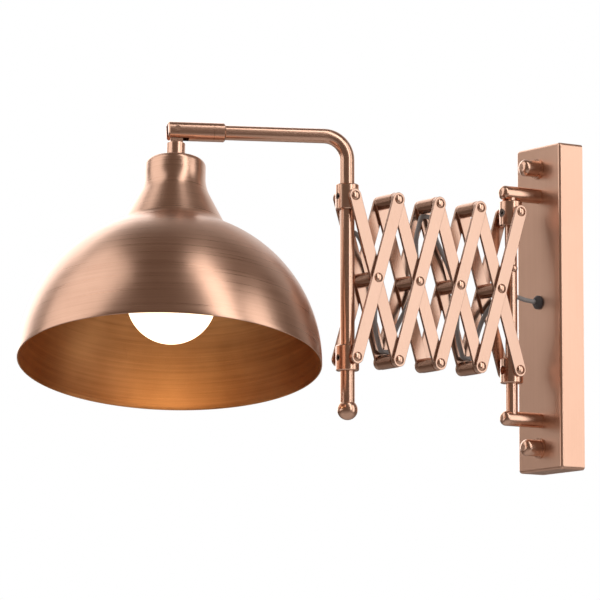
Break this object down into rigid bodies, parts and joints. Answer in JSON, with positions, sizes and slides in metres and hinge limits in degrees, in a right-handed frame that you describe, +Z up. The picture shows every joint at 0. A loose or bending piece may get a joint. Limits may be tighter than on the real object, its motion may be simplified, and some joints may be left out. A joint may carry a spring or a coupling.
{
  "type": "wall lamp",
  "caption": "Swing-out wall lamp: slim canopy, scissor arm sliding on upright rods, bent lamp arm with a knuckle, and a bell-necked dome shade.",
  "frame": {"origin": "centre of the canopy's back, on the wall", "axes": "+Z up, +Y into the wall so the lamp reaches out along -Y, +X to the right when facing the wall"},
  "size_m": [0.2009, 0.413, 0.228],
  "materials": {
    "copper_satin": "steel with brushed copper plating",
    "copper_polished": "steel with copper plating, finely brushed round its axis",
    "copper_shade": "spun sheet, brushed copper colour inside and out",
    "bare_steel": "zinc-plated steel, hidden behind the canopy",
    "cord_grey": "grey cable sheath",
    "grommet_dark": "black rubber",
    "holder_black": "black thermoset",
    "terminal_white": "white nylon",
    "cap_metal": "plain",
    "bulb_frosted": "frosted, lit"
  },
  "bodies": {
    "wall_unit": {"wall_canopy": "copper_satin", "wall_bracket": "bare_steel", "bracket_studs": "bare_steel", "canopy_knobs": "copper_polished", "wall_posts": "copper_polished", "post_screws": "bare_steel", "cable_grommet": "grommet_dark", "terminal_block": "terminal_white", "cord_lead": "cord_grey"},
    "swing_post": {"wall_rod": "copper_polished", "wall_upper_collar": "copper_polished", "wall_upper_grub_screw": "bare_steel", "rod_stop_screw": "copper_polished", "cord_slack": "cord_grey"},
    "wall_slider": {"wall_lower_collar": "copper_polished"},
    "outer1": {"cell1_outer_front_strip": "copper_satin", "cell1_outer_back_strip": "copper_satin", "cell1_pins": "copper_polished", "cell1_spacers": "copper_polished", "cord_on_first_spacer": "cord_grey"},
    "inner1": {"cell1_inner_front_strip": "copper_satin", "cell1_inner_back_strip": "copper_satin", "wall_slider_rivets": "copper_polished"},
    "outer2": {"cell2_outer_front_strip": "copper_satin", "cell2_outer_back_strip": "copper_satin", "cell2_pins": "copper_polished", "cell2_spacers": "copper_polished"},
    "inner2": {"cell2_inner_front_strip": "copper_satin", "cell2_inner_back_strip": "copper_satin", "cord_under_second_spacer": "cord_grey"},
    "outer3": {"cell3_outer_front_strip": "copper_satin", "cell3_outer_back_strip": "copper_satin", "cell3_pins": "copper_polished", "cell3_spacers": "copper_polished", "cord_on_third_spacer": "cord_grey"},
    "inner3": {"cell3_inner_front_strip": "copper_satin", "cell3_inner_back_strip": "copper_satin"},
    "outer4": {"cell4_outer_front_strip": "copper_satin", "cell4_outer_back_strip": "copper_satin", "cell4_pins": "copper_polished", "cell4_spacers": "copper_polished"},
    "inner4": {"cell4_inner_front_strip": "copper_satin", "cell4_inner_back_strip": "copper_satin", "cord_tail": "cord_grey", "lamp_head_rivets": "copper_polished"},
    "lamp_head": {"lamp_upper_collar": "copper_polished", "lamp_upper_grub_screw": "bare_steel"},
    "lamp_slider": {"lamp_lower_collar": "copper_polished", "lamp_lower_grub_screw": "bare_steel"},
    "lamp_arm": {"lamp_tube": "copper_polished", "tube_finial": "copper_polished", "knuckle_ring": "copper_polished"},
    "knuckle": {"knuckle_body": "copper_polished", "knuckle_pin": "copper_polished"},
    "shade_unit": {"shade_stem": "copper_polished", "stem_nut": "bare_steel", "shade": "copper_shade", "lamp_holder": "holder_black", "bulb_cap": "cap_metal", "bulb_glass": "bulb_frosted"}
  },
  "joints": [
    {"name": "swing", "type": "hinge", "parent": "wall_unit", "child": "swing_post", "pos_m": [0, -0.044, 0], "axis": [0, 0, 1], "range_deg": [-45, 45], "deforming": ["cord_lead"]},
    {"name": "extension", "type": "hinge", "parent": "swing_post", "child": "outer1", "pos_m": [0, -0.044, 0.0645], "axis": [-1, 0, 0], "range_deg": [-3.85, 36.5], "deforming": ["cord_slack", "cord_on_first_spacer", "cord_under_second_spacer", "cord_on_third_spacer", "cord_tail"]},
    {"name": "cross1", "type": "hinge", "parent": "outer1", "child": "inner1", "pos_m": [0, -0.06129, 0.0095], "axis": [-1, 0, 0], "range_deg": [-73.2, 7.9]},
    {"name": "wall_slide_turn", "type": "hinge", "parent": "inner1", "child": "wall_slider", "pos_m": [0, -0.044, -0.04549], "axis": [-1, 0, 0], "range_deg": [-4.05, 36.7]},
    {"name": "top1", "type": "hinge", "parent": "inner1", "child": "outer2", "pos_m": [0, -0.07858, 0.0645], "axis": [-1, 0, 0], "range_deg": [-7.9, 73.2]},
    {"name": "bottom2", "type": "hinge", "parent": "outer2", "child": "inner3", "pos_m": [0, -0.11315, -0.04549], "axis": [-1, 0, 0], "range_deg": [-73.2, 7.9]},
    {"name": "top3", "type": "hinge", "parent": "inner3", "child": "outer4", "pos_m": [0, -0.14773, 0.0645], "axis": [-1, 0, 0], "range_deg": [-7.9, 73.2]},
    {"name": "lamp_slide_turn", "type": "hinge", "parent": "outer4", "child": "lamp_slider", "pos_m": [0, -0.1823, -0.04549], "axis": [-1, 0, 0], "range_deg": [-36.7, 4.05]},
    {"name": "bottom1", "type": "hinge", "parent": "outer1", "child": "inner2", "pos_m": [0, -0.07858, -0.04549], "axis": [-1, 0, 0], "range_deg": [-73.2, 7.9]},
    {"name": "top2", "type": "hinge", "parent": "inner2", "child": "outer3", "pos_m": [0, -0.11315, 0.0645], "axis": [-1, 0, 0], "range_deg": [-7.9, 73.2]},
    {"name": "bottom3", "type": "hinge", "parent": "outer3", "child": "inner4", "pos_m": [0, -0.14773, -0.04549], "axis": [-1, 0, 0], "range_deg": [-73.2, 7.9]},
    {"name": "lamp_head_turn", "type": "hinge", "parent": "inner4", "child": "lamp_head", "pos_m": [0, -0.1823, 0.0645], "axis": [-1, 0, 0], "range_deg": [-4.05, 36.7]},
    {"name": "swivel", "type": "hinge", "parent": "lamp_head", "child": "lamp_arm", "pos_m": [0, -0.1823, 0], "axis": [0, 0, 1], "range_deg": [-37.1, 82.9]},
    {"name": "roll", "type": "hinge", "parent": "lamp_arm", "child": "knuckle", "pos_m": [0, -0.1823, 0.106], "axis": [-0.3891, -0.9212, 0], "range_deg": [-71.8, 48.2]},
    {"name": "tilt", "type": "hinge", "parent": "knuckle", "child": "shade_unit", "pos_m": [-0.04576, -0.29063, 0.106], "axis": [-0.9017, 0.3809, -0.2045], "range_deg": [-3, 20]}
  ],
  "couplings": [
    {"joint": "cross1", "follows": "extension", "ratio": -2},
    {"joint": "wall_slide_turn", "follows": "extension", "ratio": 1},
    {"joint": "top1", "follows": "extension", "ratio": 2},
    {"joint": "bottom2", "follows": "extension", "ratio": -2},
    {"joint": "top3", "follows": "extension", "ratio": 2},
    {"joint": "lamp_slide_turn", "follows": "extension", "ratio": -1},
    {"joint": "bottom1", "follows": "extension", "ratio": -2},
    {"joint": "top2", "follows": "extension", "ratio": 2},
    {"joint": "bottom3", "follows": "extension", "ratio": -2},
    {"joint": "lamp_head_turn", "follows": "extension", "ratio": 1}
  ]
}
